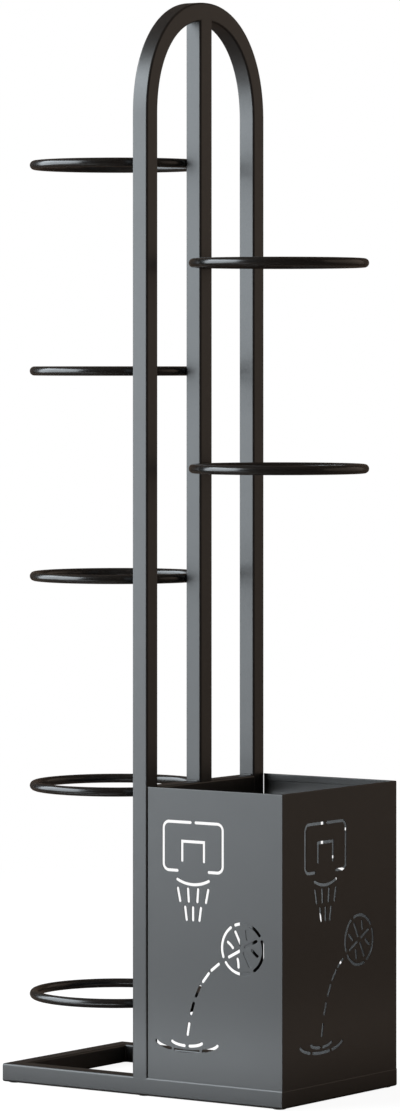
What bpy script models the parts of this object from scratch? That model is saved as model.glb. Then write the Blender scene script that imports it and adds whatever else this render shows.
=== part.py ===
"""Ball rack: a bent square-tube arch on a tube base, seven ball rings and a cut-out sheet-metal bin.

World frame in metres: X runs along the base with the bin on +X, Y runs across it with the front on
-Y, Z is up, and the floor is at 0 under the middle of the base.
"""
import math

import bmesh
import bpy
from mathutils import Matrix, Vector

# Overall sizes
HEIGHT = 1.5
BASE_LENGTH = 0.4714
BASE_DEPTH = 0.281

# Square tube of the whole frame, and how deep the post is from front to back
TUBE = 0.0256
TUBE_WALL = 0.0015
TUBE_RADIUS = 0.003
POST_DEPTH = 0.0284
CORNER_POINTS = 3
SMOOTH_ANGLE = math.radians(35)

# Clearance that stands for each welded or resting contact
FIT_GAP = 0.0003

# Arch: rise of its centreline above the spring line, and how full its shoulders are (2 is an ellipse)
ARCH_RISE = 0.1465
ARCH_FULLNESS = 2.14
ARCH_STEPS = 24

# Pads under the base
PAD_DIAMETER = 0.018
PAD_THICKNESS = 0.0012
PAD_DRAFT = 0.0004
PAD_SIDES = 20

# Ball rings of round bar, a little forward of the middle line, by the height of their centres
RING_OUTER = 0.2474
RING_BAR = 0.0128
RING_FORWARD = 0.0037
LEFT_POST_RINGS = (1.2779, 0.9896, 0.7023)
RIGHT_POST_RINGS = (1.1381, 0.8561)
RING_STEPS = 32
BAR_STEPS = 8
WELD_WIDTH = 0.0145
WELD_HEIGHT = 0.0104
WELD_TAPER = 0.7

# Crossbars between the legs
LOWER_BAR_CENTRE = 0.1176
UPPER_BAR_DROP = 0.0015

# Sheet-metal bin
BIN_TOP = 0.4235
SHEET = 0.0012
BEND_RADIUS = 0.0016
BEND_STEPS = 2
LEG_SLIT = 0.0007
FACE_INSET = 0.0008
SIDE_INSET = 0.0001
HEM_DEPTH = 0.008
HEM_GAP = 0.0004
HEM_RELIEF = 0.006
HEM_STEPS = 4
FLOOR_LAP = 0.008

# Clips and corner angles behind the panels
CLIP_LEAF = 0.014
CLIP_HEIGHT = 0.024
CLIP_SHEET = 0.0015
CLIP_END_MARGIN = 0.022
CLIP_LEVELS = ("lower", "middle", "upper")
ANGLE_LEAF = 0.014
ANGLE_STEPS = 3

# Cut-outs of the panels: slot width, the metal left between two slots, and how far facets may stray
SLOT = 0.004
BRIDGE = 0.0045
CAP_STEPS = 3
SLOT_TOLERANCE = 0.00025

# Backboard, rim and net, placed from the panel's middle
RIM_CENTRE = (-0.036, 0.076)
RIM_WIDTH = 0.052
RIM_SAG = 0.006
NET_DEPTH = 0.050
NET_FOOT_WIDTH = 0.030
NET_MESHES = 3
NET_ROWS = 2
BOARD_WIDTH = 0.098
BOARD_HEIGHT = 0.066
BOARD_CORNER = 0.009
BOARD_LIFT = 0.012
TARGET_WIDTH = 0.036
TARGET_HEIGHT = 0.026
TARGET_LIFT = 0.014

# Ball in flight; its side seams are arcs, given as shares of its radius
BALL_CENTRE = (0.046, -0.012)
BALL_RADIUS = 0.034
BALL_TILT = math.radians(28)
SEAM_OFFSET = 1.5
SEAM_RADIUS = 1.12

# Bounce marks and the ball's path
BOUNCE_CENTRE = (-0.046, -0.142)
BOUNCE_RADII = (0.026, 0.052)
BOUNCE_PIECES = (2, 3)
BOUNCE_FLATTEN = 0.28
BOUNCE_START = math.radians(190)
BOUNCE_END = math.radians(350)
PATH_DASHES = 5
PATH_DASH = 0.015
PATH_BULGE = (-0.036, -0.060)

POWDER_BLACK = (0.014, 0.014, 0.014)
POWDER_ROUGHNESS = 0.42
RUBBER_BLACK = (0.018, 0.018, 0.018)
RUBBER_ROUGHNESS = 0.85

HALF_TUBE = TUBE / 2
RAIL_X = BASE_LENGTH / 2 - HALF_TUBE
RAIL_Y = BASE_DEPTH / 2 - HALF_TUBE
RAIL_Z = PAD_THICKNESS + FIT_GAP + HALF_TUBE
BASE_TOP = RAIL_Z + HALF_TUBE
SPRING_Z = HEIGHT - HALF_TUBE - ARCH_RISE
UPPER_BAR_Z = BIN_TOP - UPPER_BAR_DROP - HALF_TUBE
CROSS_REACH = RAIL_Y - HALF_TUBE + TUBE_RADIUS
PANEL_X = BASE_LENGTH / 2 - SIDE_INSET
PANEL_Y = BASE_DEPTH / 2 - FACE_INSET
MITRE_GAP = FIT_GAP / math.sqrt(2)
FOLD_RADIUS = SHEET + HEM_GAP / 2
RELIEF_DEPTH = SHEET + HEM_GAP / 4
SLOT_PITCH = SLOT + BRIDGE
X_AXIS = Vector((1, 0, 0))
Y_AXIS = Vector((0, 1, 0))
Z_AXIS = Vector((0, 0, 1))


# Scene, material and mesh helpers

def clear_scene():
    for old in list(bpy.data.objects):
        bpy.data.objects.remove(old, do_unlink=True)


def finish_material(name, colour, roughness):
    material = bpy.data.materials.new(name)
    material.use_nodes = True
    shader = material.node_tree.nodes["Principled BSDF"]
    shader.inputs["Base Color"].default_value = (*colour, 1)
    shader.inputs["Roughness"].default_value = roughness
    shader.inputs["Metallic"].default_value = 0.0
    return material


def powder_coat(name):
    return finish_material(name + "_powder_coat", POWDER_BLACK, POWDER_ROUGHNESS)


def add_object(name, bm):
    bmesh.ops.recalc_face_normals(bm, faces=bm.faces)
    mesh = bpy.data.meshes.new(name)
    bm.to_mesh(mesh)
    bm.free()
    mesh.shade_smooth()
    mesh.set_sharp_from_angle(angle=SMOOTH_ANGLE)
    obj = bpy.data.objects.new(name, mesh)
    bpy.context.scene.collection.objects.link(obj)
    return obj


def add_part(name, bm):
    part = add_object(name, bm)
    part.data.materials.append(powder_coat(name))
    return part


def hide_guide(guide):
    guide.hide_render = True
    guide.display_type = "WIRE"


def combine(part, tool, operation):
    hide_guide(tool)
    change = part.modifiers.new(operation.lower() + "_" + tool.name, "BOOLEAN")
    change.operation = operation
    change.solver = "EXACT"
    change.object = tool


# Square tube

def rounded_square(size, radius):
    """Corner points of a rounded square, anticlockwise from its right side."""
    points = []
    for corner in range(4):
        turn = math.radians(45 + 90 * corner)
        centre = Vector((math.cos(turn), math.sin(turn))) * (size / 2 - radius) * math.sqrt(2)
        for step in range(CORNER_POINTS):
            angle = math.radians(90 * corner + 90 * step / (CORNER_POINTS - 1))
            points.append(centre + Vector((math.cos(angle), math.sin(angle))) * radius)
    return points


def station(origin, across, up):
    """A section's place: its middle, and the two vectors that its width and height follow."""
    return Vector(origin), Vector(across), Vector(up)


def place_section(bm, points, place):
    origin, across, up = place
    return [bm.verts.new(origin + across * point.x + up * point.y) for point in points]


def skin(bm, first, second):
    count = len(first)
    for index in range(count):
        after = (index + 1) % count
        bm.faces.new((first[index], first[after], second[after], second[index]))


def tube_mesh(stations):
    """A hollow square tube through the stations, open at both ends."""
    outer = rounded_square(TUBE, TUBE_RADIUS)
    inner = rounded_square(TUBE - 2 * TUBE_WALL, TUBE_RADIUS - TUBE_WALL)
    bm = bmesh.new()
    outer_rings = [place_section(bm, outer, place) for place in stations]
    inner_rings = [place_section(bm, inner, place) for place in stations]
    for near, far in zip(outer_rings, outer_rings[1:]):
        skin(bm, near, far)
    for near, far in zip(inner_rings, inner_rings[1:]):
        skin(bm, far, near)
    skin(bm, inner_rings[0], outer_rings[0])
    skin(bm, outer_rings[-1], inner_rings[-1])
    return bm


def envelope_mesh(stations):
    """The solid that a tube takes up, one fit gap larger all round."""
    outer = rounded_square(TUBE + 2 * FIT_GAP, TUBE_RADIUS + FIT_GAP)
    bm = bmesh.new()
    rings = [place_section(bm, outer, place) for place in stations]
    for near, far in zip(rings, rings[1:]):
        skin(bm, near, far)
    bm.faces.new(reversed(rings[0]))
    bm.faces.new(rings[-1])
    return bm


def cope(part, name, stations):
    """Shape a tube's end to the round corner of the tube that it meets."""
    combine(part, add_object("guide_" + name, envelope_mesh(stations)), "DIFFERENCE")


def straight_stations(start, end, across, up):
    return [station(start, across, up), station(end, across, up)]


# Base frame

def mitred_stations(centre, run, side, half_length):
    """Both ends of a base tube, each cut at 45 degrees towards the middle of the base."""
    shift = half_length - MITRE_GAP
    ends = []
    for sign in (-1, 1):
        skew = side + run * sign
        ends.append(station(centre + run * sign * shift, skew, Z_AXIS))
    return ends


def base_rail_stations():
    middle = Vector((0, 0, RAIL_Z))
    return {
        "base_front_rail": mitred_stations(middle - Y_AXIS * RAIL_Y, X_AXIS, -Y_AXIS, RAIL_X),
        "base_back_rail": mitred_stations(middle + Y_AXIS * RAIL_Y, X_AXIS, Y_AXIS, RAIL_X),
        "base_left_rail": mitred_stations(middle - X_AXIS * RAIL_X, Y_AXIS, -X_AXIS, RAIL_Y),
        "base_right_rail": mitred_stations(middle + X_AXIS * RAIL_X, Y_AXIS, X_AXIS, RAIL_Y),
    }


def rail_envelope_stations(sign):
    """The front (-1) or back (1) base tube, run on past its ends as a coping guide."""
    reach = X_AXIS * BASE_LENGTH
    centre = Vector((0, sign * RAIL_Y, RAIL_Z))
    return straight_stations(centre - reach, centre + reach, Y_AXIS, Z_AXIS)


def make_base():
    for name, stations in base_rail_stations().items():
        add_part(name, tube_mesh(stations))
    cross = add_part("base_cross_rail", tube_mesh(crossbar_stations(RAIL_Z, CROSS_REACH)))
    cope(cross, "cross_rail_front", rail_envelope_stations(-1))
    cope(cross, "cross_rail_back", rail_envelope_stations(1))


def make_foot_pads():
    for x_name, x in (("left", -RAIL_X), ("middle", 0), ("right", RAIL_X)):
        for y_name, y in (("front", -RAIL_Y), ("back", RAIL_Y)):
            bm = bmesh.new()
            bmesh.ops.create_cone(bm, cap_ends=True, segments=PAD_SIDES, depth=PAD_THICKNESS,
                                  radius1=PAD_DIAMETER / 2 - PAD_DRAFT, radius2=PAD_DIAMETER / 2,
                                  matrix=Matrix.Translation((x, y, PAD_THICKNESS / 2)))
            pad = add_object("foot_pad_" + y_name + "_" + x_name, bm)
            rubber = finish_material(pad.name + "_rubber", RUBBER_BLACK, RUBBER_ROUGHNESS)
            pad.data.materials.append(rubber)


# Arch, middle post and crossbars

def arch_path():
    """Centreline points from the front leg's foot, over the top, to the back leg's foot."""
    foot = BASE_TOP - TUBE_RADIUS
    points = [Vector((0, -RAIL_Y, foot))]
    for step in range(ARCH_STEPS + 1):
        angle = math.pi * step / ARCH_STEPS
        over, rise = math.cos(angle), math.sin(angle)
        y = -RAIL_Y * math.copysign(abs(over) ** (2 / ARCH_FULLNESS), over)
        points.append(Vector((0, y, SPRING_Z + ARCH_RISE * abs(rise) ** (2 / ARCH_FULLNESS))))
    points.append(Vector((0, RAIL_Y, foot)))
    return points


def arch_stations():
    points = arch_path()
    stations = []
    for index, point in enumerate(points):
        before = points[index - 1] if index > 0 else point - Z_AXIS
        after = points[index + 1] if index < len(points) - 1 else point - Z_AXIS
        if index == 1:
            after = point + Z_AXIS
        if index == len(points) - 2:
            before = point + Z_AXIS
        direction = (after - point).normalized() + (point - before).normalized()
        inward = direction.normalized().cross(X_AXIS)
        stations.append(station(point, X_AXIS, inward))
    return stations


def leg_stations(sign):
    """The straight part of the front (-1) or back (1) leg."""
    foot = Vector((0, sign * RAIL_Y, BASE_TOP))
    return straight_stations(foot, foot + Z_AXIS * (SPRING_Z - BASE_TOP), X_AXIS, Y_AXIS)


def make_arch():
    arch = add_part("arch_frame", tube_mesh(arch_stations()))
    cope(arch, "arch_foot_front", rail_envelope_stations(-1))
    cope(arch, "arch_foot_back", rail_envelope_stations(1))
    cope(arch, "arch_foot_cross", crossbar_stations(RAIL_Z, CROSS_REACH + FIT_GAP))


def crossbar_stations(height, reach):
    centre = Vector((0, 0, height))
    return straight_stations(centre - Y_AXIS * reach, centre + Y_AXIS * reach, X_AXIS, Z_AXIS)


def make_crossbar(name, height):
    bar = add_part(name, tube_mesh(crossbar_stations(height, CROSS_REACH)))
    cope(bar, name + "_front", leg_stations(-1))
    cope(bar, name + "_back", leg_stations(1))


def make_centre_post():
    foot = Vector((0, 0, UPPER_BAR_Z + HALF_TUBE - TUBE_RADIUS))
    top = Vector((0, 0, HEIGHT - HALF_TUBE))
    deep = Y_AXIS * POST_DEPTH / TUBE
    post = add_part("centre_post", tube_mesh(straight_stations(foot, top, X_AXIS, deep)))
    cope(post, "post_top", arch_stations())
    cope(post, "post_foot", crossbar_stations(UPPER_BAR_Z, RAIL_Y))


# Ball rings

def weld_mesh(side, height):
    """Weld between ring and post, wide at the post and narrower at the bar's middle."""
    post_x = side * (HALF_TUBE + FIT_GAP)
    bar_x = post_x + side * RING_BAR / 2
    bm = bmesh.new()
    rings = []
    for x, share in ((post_x, 1), (bar_x, WELD_TAPER)):
        half_y = WELD_WIDTH / 2 * share
        half_z = WELD_HEIGHT / 2 * share
        corners = ((-half_y, -half_z), (half_y, -half_z), (half_y, half_z), (-half_y, half_z))
        rings.append([bm.verts.new((x, y - RING_FORWARD, height + z)) for y, z in corners])
    skin(bm, rings[0], rings[1])
    bm.faces.new(rings[0])
    bm.faces.new(rings[1])
    return bm


def make_ring(name, side, height):
    """A ring on the left (-1) or right (1) face of the middle line."""
    centre = side * (HALF_TUBE + FIT_GAP + RING_OUTER / 2)
    bpy.ops.mesh.primitive_torus_add(location=(centre, -RING_FORWARD, height),
                                     major_radius=RING_OUTER / 2 - RING_BAR / 2, minor_radius=RING_BAR / 2,
                                     major_segments=RING_STEPS, minor_segments=BAR_STEPS)
    ring = bpy.context.object
    ring.name = name
    ring.data.name = name
    ring.data.shade_smooth()
    ring.data.materials.append(powder_coat(name))
    combine(ring, add_object("guide_weld_" + name, weld_mesh(side, height)), "UNION")


def make_rings():
    left = LEFT_POST_RINGS + (UPPER_BAR_Z, LOWER_BAR_CENTRE)
    for number, height in enumerate(left, start=1):
        make_ring("left_ring_%d" % number, -1, height)
    for number, height in enumerate(RIGHT_POST_RINGS, start=1):
        make_ring("right_ring_%d" % number, 1, height)


# Cut-out strokes, each a list of points along the middle of a slot

def arc_points(centre, radius, start, end, flatten=1.0):
    """An arc with as many steps as the slot's tolerance asks for."""
    largest_step = 2 * math.acos(1 - SLOT_TOLERANCE / radius)
    steps = max(2, math.ceil(abs(end - start) / largest_step))
    points = []
    for step in range(steps + 1):
        angle = start + (end - start) * step / steps
        offset = Vector((math.cos(angle), flatten * math.sin(angle)))
        points.append(Vector(centre) + offset * radius)
    return points


def trimmed(start, end):
    """A straight stroke, kept half a pitch short of what lies at its two ends."""
    start, end = Vector(start), Vector(end)
    inset = (end - start).normalized() * SLOT_PITCH / 2
    return [start + inset, end - inset]


def half_board(side):
    """The left (-1) or right (1) half of the backboard's outline, from its top middle to the rim."""
    foot = RIM_CENTRE[1] + BOARD_LIFT
    corner = BOARD_WIDTH / 2 - BOARD_CORNER
    stroke = [Vector((SLOT_PITCH / 2, foot + BOARD_HEIGHT))]
    stroke += arc_points((corner, foot + BOARD_HEIGHT - BOARD_CORNER), BOARD_CORNER, math.pi / 2, 0)
    stroke += arc_points((corner, foot + BOARD_CORNER), BOARD_CORNER, 0, -math.pi / 2)
    stroke.append(Vector((RIM_WIDTH / 2, foot)))
    return [Vector((RIM_CENTRE[0] + side * point.x, point.y)) for point in stroke]


def backboard_strokes():
    foot = RIM_CENTRE[1] + BOARD_LIFT + TARGET_LIFT
    left = RIM_CENTRE[0] - TARGET_WIDTH / 2
    right = RIM_CENTRE[0] + TARGET_WIDTH / 2
    target = [(left, foot), (left, foot + TARGET_HEIGHT), (right, foot + TARGET_HEIGHT), (right, foot)]
    return [half_board(-1), half_board(1), [Vector(point) for point in target]]


def rim_strokes():
    half = RIM_WIDTH / 2
    radius = (half ** 2 + RIM_SAG ** 2) / (2 * RIM_SAG)
    spread = math.asin(half / radius)
    centre = (RIM_CENTRE[0], RIM_CENTRE[1] - RIM_SAG + radius)
    return [arc_points(centre, radius, -math.pi / 2 - spread, -math.pi / 2 + spread)]


def net_strokes():
    """Cords that narrow from the rim to the net's foot, staggered from row to row."""
    strokes = []
    top = RIM_CENTRE[1] - RIM_SAG - SLOT / 2
    for row in range(NET_ROWS):
        high_share = row / NET_ROWS
        low_share = (row + 1) / NET_ROWS
        high_width = RIM_WIDTH + (NET_FOOT_WIDTH - RIM_WIDTH) * high_share
        low_width = RIM_WIDTH + (NET_FOOT_WIDTH - RIM_WIDTH) * low_share
        stagger = (row % 2) / 2
        for cord in range(NET_MESHES + 1 - row % 2):
            across = (cord + stagger) / NET_MESHES - 0.5
            high = (RIM_CENTRE[0] + high_width * across, top - NET_DEPTH * high_share)
            low = (RIM_CENTRE[0] + low_width * across, top - NET_DEPTH * low_share)
            strokes.append(trimmed(high, low))
    return strokes


def ball_strokes():
    centre = Vector(BALL_CENTRE)
    turn = Matrix.Rotation(BALL_TILT, 2)
    half_gap = SLOT_PITCH / 2 / BALL_RADIUS
    strokes = []
    for quarter in range(4):
        start = quarter * math.pi / 2 + half_gap
        strokes.append(arc_points((0, 0), BALL_RADIUS, start, start + math.pi / 2 - 2 * half_gap))
        spoke = Matrix.Rotation(quarter * math.pi / 2, 2) @ Vector((1, 0))
        strokes.append([spoke * SLOT_PITCH / math.sqrt(2), spoke * (BALL_RADIUS - SLOT_PITCH)])
    seam_radius = BALL_RADIUS * SEAM_RADIUS
    meet = math.acos((SEAM_OFFSET ** 2 + SEAM_RADIUS ** 2 - 1) / (2 * SEAM_OFFSET * SEAM_RADIUS))
    for side in (-1, 1):
        seam_centre = (side * BALL_RADIUS * SEAM_OFFSET, 0)
        middle = math.pi / 2 + side * math.pi / 2
        near = SLOT_PITCH / seam_radius
        far = meet - near
        for sign in (-1, 1):
            strokes.append(arc_points(seam_centre, seam_radius, middle + sign * near, middle + sign * far))
    return [[centre + turn @ point for point in stroke] for stroke in strokes]


def bounce_strokes():
    strokes = []
    for radius, pieces in zip(BOUNCE_RADII, BOUNCE_PIECES):
        span = (BOUNCE_END - BOUNCE_START) / pieces
        margin = SLOT_PITCH / 2 / radius
        for piece in range(pieces):
            first = BOUNCE_START + span * piece + margin
            last = first + span - 2 * margin
            strokes.append(arc_points(BOUNCE_CENTRE, radius, first, last, BOUNCE_FLATTEN))
    return strokes


def path_strokes():
    """Dashes along the ball's path, from the bounce to just short of the ball."""
    start = Vector(BOUNCE_CENTRE)
    bulge = Vector(PATH_BULGE)
    ball = Vector(BALL_CENTRE)
    end = ball + (bulge - ball).normalized() * (BALL_RADIUS + SLOT_PITCH)
    strokes = []
    for dash in range(PATH_DASHES):
        share = (dash + 0.5) / PATH_DASHES
        point = start * (1 - share) ** 2 + bulge * 2 * share * (1 - share) + end * share ** 2
        along = ((bulge - start) * (1 - share) + (end - bulge) * share).normalized()
        strokes.append([point - along * PATH_DASH / 2, point + along * PATH_DASH / 2])
    return strokes


def all_strokes():
    return (backboard_strokes() + rim_strokes() + net_strokes() + ball_strokes()
            + bounce_strokes() + path_strokes())


def slot_outline(stroke):
    """The slot's edge round a stroke, with a half circle at each end."""
    radius = SLOT / 2
    left, right = [], []
    for index, point in enumerate(stroke):
        before = stroke[max(index - 1, 0)]
        after = stroke[min(index + 1, len(stroke) - 1)]
        along = (point - before).normalized() + (after - point).normalized()
        along.normalize()
        side = Vector((-along.y, along.x))
        bend = (after - point).normalized() if index < len(stroke) - 1 else along
        widen = 1 / along.dot(bend)
        left.append(point + side * radius * widen)
        right.append(point - side * radius * widen)
    start_cap = round_cap(stroke[0], (stroke[0] - stroke[1]).normalized(), radius)
    end_cap = round_cap(stroke[-1], (stroke[-1] - stroke[-2]).normalized(), radius)
    return left + end_cap + right[::-1] + start_cap


def round_cap(point, along, radius):
    side = Vector((-along.y, along.x))
    cap = []
    for step in range(1, CAP_STEPS):
        angle = math.pi / 2 - math.pi * step / CAP_STEPS
        cap.append(point + (side * math.sin(angle) + along * math.cos(angle)) * radius)
    return cap


# Bin

def add_prism(bm, outline, low, high, place):
    """A prism over a flat outline; place turns its local axes into world ones."""
    floor = [bm.verts.new(place @ Vector((x, y, low))) for x, y in outline]
    roof = [bm.verts.new(place @ Vector((x, y, high))) for x, y in outline]
    skin(bm, floor, roof)
    bm.faces.new(floor)
    bm.faces.new(roof)


def prism_mesh(outline, low, high, place):
    bm = bmesh.new()
    add_prism(bm, outline, low, high, place)
    return bm


def panel_end(x, side, is_corner):
    """A panel's end in plan, from outside its outer face to just behind the sheet, inside the hem's gap."""
    if not is_corner:
        return [(x, -SHEET), (x, RELIEF_DEPTH)]
    bend = []
    for step in range(1, BEND_STEPS + 1):
        angle = math.pi / 4 * step / BEND_STEPS
        bend.append((x - side * (BEND_RADIUS * (1 - math.sin(angle)) + MITRE_GAP),
                     BEND_RADIUS * (1 - math.cos(angle))))
    start_x = x - side * (BEND_RADIUS + MITRE_GAP)
    lead_in = (2 * start_x - bend[0][0], -bend[0][1])
    return [(lead_in[0], -SHEET), lead_in] + bend + [(x - side * (RELIEF_DEPTH + MITRE_GAP), RELIEF_DEPTH)]


def panel_plan(width, left_is_corner, right_is_corner):
    """Plan that trims a panel's two ends and stops the hem short of both."""
    left, right = -width / 2, width / 2
    behind_hem = 2 * FOLD_RADIUS + FIT_GAP
    outline = panel_end(left, -1, left_is_corner)[::-1] + panel_end(right, 1, right_is_corner)
    outline += [(right - HEM_RELIEF, RELIEF_DEPTH), (right - HEM_RELIEF, behind_hem)]
    outline += [(left + HEM_RELIEF, behind_hem), (left + HEM_RELIEF, RELIEF_DEPTH)]
    return outline


def hem_section(bottom, top):
    """Upright section of a panel: the sheet, folded flat inwards over its top edge."""
    fold_z = top - FOLD_RADIUS
    section = [(0, bottom), (0, fold_z)]
    for step in range(1, HEM_STEPS):
        angle = math.pi - math.pi * step / HEM_STEPS
        section.append((FOLD_RADIUS * (1 + math.cos(angle)), fold_z + FOLD_RADIUS * math.sin(angle)))
    leaf_foot = fold_z - HEM_DEPTH
    section += [(2 * FOLD_RADIUS, fold_z), (2 * FOLD_RADIUS, leaf_foot)]
    section += [(SHEET + HEM_GAP, leaf_foot), (SHEET + HEM_GAP, fold_z)]
    section += [(SHEET, fold_z), (SHEET, bottom)]
    return section


def make_panel(name, width, left_is_corner, right_is_corner, place):
    """A bin panel. place carries its plan (x along it, y inwards) into the world."""
    bottom = BASE_TOP + FIT_GAP
    along_first = place @ Matrix(((0, 0, 1, 0), (1, 0, 0, 0), (0, 1, 0, 0), (0, 0, 0, 1)))
    reach = width / 2 + SHEET
    panel = add_part(name, prism_mesh(hem_section(bottom, BIN_TOP), -reach, reach, along_first))
    plan = panel_plan(width, left_is_corner, right_is_corner)
    trim = prism_mesh(plan, bottom - SHEET, BIN_TOP + SHEET, place)
    combine(panel, add_object("guide_plan_" + name, trim), "INTERSECT")
    middle = Matrix.Translation((0, 0, (bottom + BIN_TOP) / 2))
    face_on = place @ middle @ Matrix.Rotation(math.pi / 2, 4, "X")
    slots = bmesh.new()
    for stroke in all_strokes():
        add_prism(slots, slot_outline(stroke), -2 * SHEET, SHEET, face_on)
    combine(panel, add_object("guide_slots_" + name, slots), "DIFFERENCE")


def make_panels():
    leg_x = HALF_TUBE + LEG_SLIT
    width = PANEL_X - leg_x
    middle = (PANEL_X + leg_x) / 2
    front = Matrix.Translation((middle, -PANEL_Y, 0))
    back = Matrix.Translation((middle, PANEL_Y, 0)) @ Matrix.Rotation(math.pi, 4, "Z")
    right = Matrix.Translation((PANEL_X, 0, 0)) @ Matrix.Rotation(math.pi / 2, 4, "Z")
    make_panel("front_panel", width, False, True, front)
    make_panel("back_panel", width, True, False, back)
    make_panel("right_panel", 2 * PANEL_Y, True, True, right)


def make_bin_floor():
    """Floor sheet on the base tubes, notched round the two legs."""
    right = PANEL_X - SHEET - FIT_GAP
    side = PANEL_Y - SHEET - FIT_GAP
    leg_x = HALF_TUBE + FIT_GAP
    leg_y = RAIL_Y - HALF_TUBE - FIT_GAP
    left = -FLOOR_LAP
    outline = [(left, -leg_y), (leg_x, -leg_y), (leg_x, -side), (right, -side)]
    outline += [(right, side), (leg_x, side), (leg_x, leg_y), (left, leg_y)]
    low = BASE_TOP + FIT_GAP
    add_part("bin_floor", prism_mesh(outline, low, low + SHEET, Matrix.Identity(4)))


def angle_outline(leaf, sheet):
    """An L in plan with its outer corner at the origin, rounded over the bend."""
    outline = [(leaf, 0), (leaf, sheet), (sheet, sheet), (sheet, leaf), (0, leaf), (0, sheet)]
    for step in range(1, ANGLE_STEPS):
        angle = math.pi + math.pi / 2 * step / ANGLE_STEPS
        outline.append((sheet * (1 + math.cos(angle)), sheet * (1 + math.sin(angle))))
    outline.append((sheet, 0))
    return outline


def make_angle(name, corner_x, corner_y, x_side, y_side, low, high, leaf, sheet):
    place = Matrix.Translation((corner_x, corner_y, 0)) @ Matrix.Diagonal((x_side, y_side, 1, 1))
    add_part(name, prism_mesh(angle_outline(leaf, sheet), low, high, place))


def make_bin_brackets():
    floor_top = BASE_TOP + FIT_GAP + SHEET
    hem_foot = BIN_TOP - FOLD_RADIUS - HEM_DEPTH
    behind = SHEET + FIT_GAP
    leg_face = HALF_TUBE + FIT_GAP
    first = floor_top + CLIP_END_MARGIN
    last = hem_foot - CLIP_END_MARGIN - CLIP_HEIGHT
    for y_name, y_side in (("front", 1), ("back", -1)):
        corner_y = -y_side * (PANEL_Y - behind)
        for index, level in enumerate(CLIP_LEVELS):
            low = first + (last - first) * index / (len(CLIP_LEVELS) - 1)
            make_angle(y_name + "_clip_" + level, leg_face, corner_y, 1, y_side,
                       low, low + CLIP_HEIGHT, CLIP_LEAF, CLIP_SHEET)
        make_angle(y_name + "_corner_angle", PANEL_X - behind, corner_y, -1, y_side,
                   floor_top + FIT_GAP, hem_foot - FIT_GAP, ANGLE_LEAF, SHEET)


clear_scene()
make_base()
make_foot_pads()
make_arch()
make_centre_post()
make_crossbar("upper_crossbar", UPPER_BAR_Z)
make_crossbar("lower_crossbar", LOWER_BAR_CENTRE)
make_rings()
make_panels()
make_bin_floor()
make_bin_brackets()
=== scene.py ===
# %% [markdown]
# # A ball rack of square tube, round bar and cut-out sheet
#
# The rack is one welded frame with a black powder coat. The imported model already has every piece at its
# real size. Here each visible piece is made again as a finer mesh in the same place, with the soft edges
# that a coat leaves, and then gets its finish, its studio light and its camera.

# %% Load the frame
import math

import bmesh
import bpy
from mathutils import Matrix, Vector, geometry


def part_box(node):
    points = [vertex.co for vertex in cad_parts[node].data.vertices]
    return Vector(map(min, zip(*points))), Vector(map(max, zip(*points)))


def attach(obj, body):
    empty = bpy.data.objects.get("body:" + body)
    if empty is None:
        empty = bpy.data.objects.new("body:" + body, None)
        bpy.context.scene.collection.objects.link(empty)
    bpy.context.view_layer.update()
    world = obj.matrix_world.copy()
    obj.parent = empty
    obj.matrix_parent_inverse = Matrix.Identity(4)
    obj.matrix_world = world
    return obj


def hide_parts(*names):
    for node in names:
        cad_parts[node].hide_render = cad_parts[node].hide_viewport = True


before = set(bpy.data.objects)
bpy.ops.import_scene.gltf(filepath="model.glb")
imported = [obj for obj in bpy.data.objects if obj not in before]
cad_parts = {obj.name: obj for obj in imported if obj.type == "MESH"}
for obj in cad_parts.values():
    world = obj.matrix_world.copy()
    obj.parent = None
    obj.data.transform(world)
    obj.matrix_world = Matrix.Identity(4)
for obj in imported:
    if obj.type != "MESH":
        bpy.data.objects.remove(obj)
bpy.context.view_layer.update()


def nodes_with(*words):
    """The frame's nodes whose name holds one of the words."""
    return [node for node in sorted(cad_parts) if any(word in node for word in words)]


print("nodes in the frame:", len(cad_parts))

# %% [markdown]
# ## Sizes that come from the frame
#
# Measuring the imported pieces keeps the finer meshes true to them. Only what a box can't tell, such as a
# corner's radius or the fullness of the arch, is written here as a number.

# %% Measure the tubes
POST_LOW, POST_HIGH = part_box("centre_post")
TUBE = POST_HIGH.x - POST_LOW.x
HALF_TUBE = TUBE / 2
POST_DEPTH = POST_HIGH.y - POST_LOW.y
TUBE_RADIUS = 0.003
ARCH_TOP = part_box("arch_frame")[1].z
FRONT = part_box("base_front_rail")[0].y
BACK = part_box("base_back_rail")[1].y
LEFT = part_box("base_left_rail")[0].x
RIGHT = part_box("base_right_rail")[1].x
RAIL_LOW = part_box("base_front_rail")[0].z
RAIL_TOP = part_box("base_front_rail")[1].z
RAIL_Z = (RAIL_LOW + RAIL_TOP) / 2
LEG_Y = BACK - HALF_TUBE
UPPER_BAR_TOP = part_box("upper_crossbar")[1].z
LOWER_BAR_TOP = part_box("lower_crossbar")[1].z
X_AXIS = Vector((1, 0, 0))
Y_AXIS = Vector((0, 1, 0))
Z_AXIS = Vector((0, 0, 1))
print("tube %.1f mm, arch %.1f mm high" % (TUBE * 1000, ARCH_TOP * 1000))

# %% [markdown]
# ## The powder coat
#
# Powder is sprayed on dry and melts in the oven to a skin of about 0.1 mm. It is satin, never quite flat:
# it has a soft orange peel about a millimetre across, and a much finer grain. Four effects are node groups
# here, so that each material can place them with its own values. First come the helpers that build them.

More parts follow.
